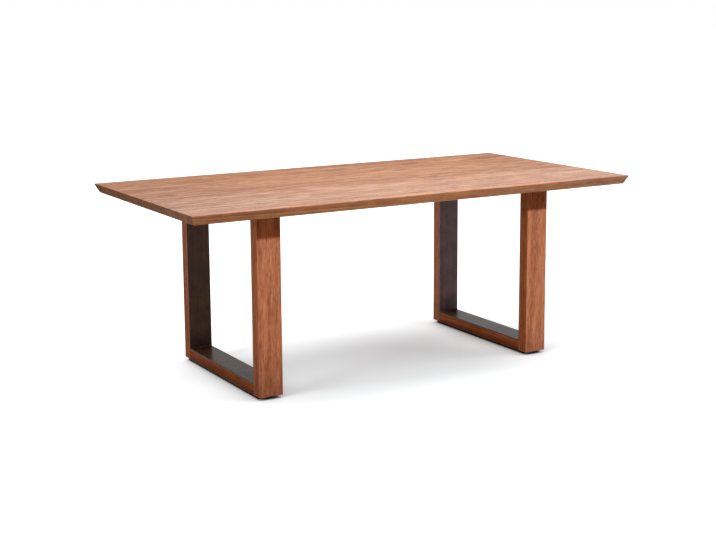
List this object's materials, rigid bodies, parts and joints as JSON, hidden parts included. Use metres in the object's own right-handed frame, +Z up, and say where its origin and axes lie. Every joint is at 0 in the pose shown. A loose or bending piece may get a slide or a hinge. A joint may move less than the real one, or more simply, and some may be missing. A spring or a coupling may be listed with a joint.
{
  "type": "u-frame dining table",
  "caption": "Rectangular solid oak dining table with an undercut bevelled top on two U-shaped oak frames lined inside with black flat steel.",
  "frame": {"origin": "on the floor under the middle of the tabletop", "axes": "+X along the length of the table, +Y across it away from the front edge, +Z up"},
  "size_m": [2, 1, 0.76],
  "materials": {
    "oak_top": "oiled rustic oak",
    "oak_frame": "oiled oak",
    "black_steel": "fine matt black powder coat",
    "black_runner": "matt black",
    "felt": "pressed felt",
    "beech": "plain beech",
    "zinc_steel": "bright zinc plate"
  },
  "bodies": {
    "root": {"tabletop_stave_1_long": "oak_top", "tabletop_stave_1_short": "oak_top", "tabletop_stave_2": "oak_top", "tabletop_stave_3": "oak_top", "tabletop_stave_4": "oak_top", "tabletop_stave_5": "oak_top", "tabletop_stave_6": "oak_top", "tabletop_stave_7": "oak_top", "tabletop_stave_8": "oak_top", "left_upright_front": "oak_frame", "left_upright_rear": "oak_frame", "left_floor_rail": "oak_frame", "left_liner_front": "black_steel", "left_liner_rear": "black_steel", "left_liner_base": "black_steel", "left_liner_top_bar": "black_steel", "left_floor_runner": "black_runner", "left_felt_pads": "felt", "left_rail_tenons": "beech", "right_upright_front": "oak_frame", "right_upright_rear": "oak_frame", "right_floor_rail": "oak_frame", "right_liner_front": "black_steel", "right_liner_rear": "black_steel", "right_liner_base": "black_steel", "right_liner_top_bar": "black_steel", "right_floor_runner": "black_runner", "right_felt_pads": "felt", "right_rail_tenons": "beech", "threaded_inserts": "zinc_steel", "top_bolts": "zinc_steel", "anti_warp_batten": "black_steel"}
  },
  "joints": []
}
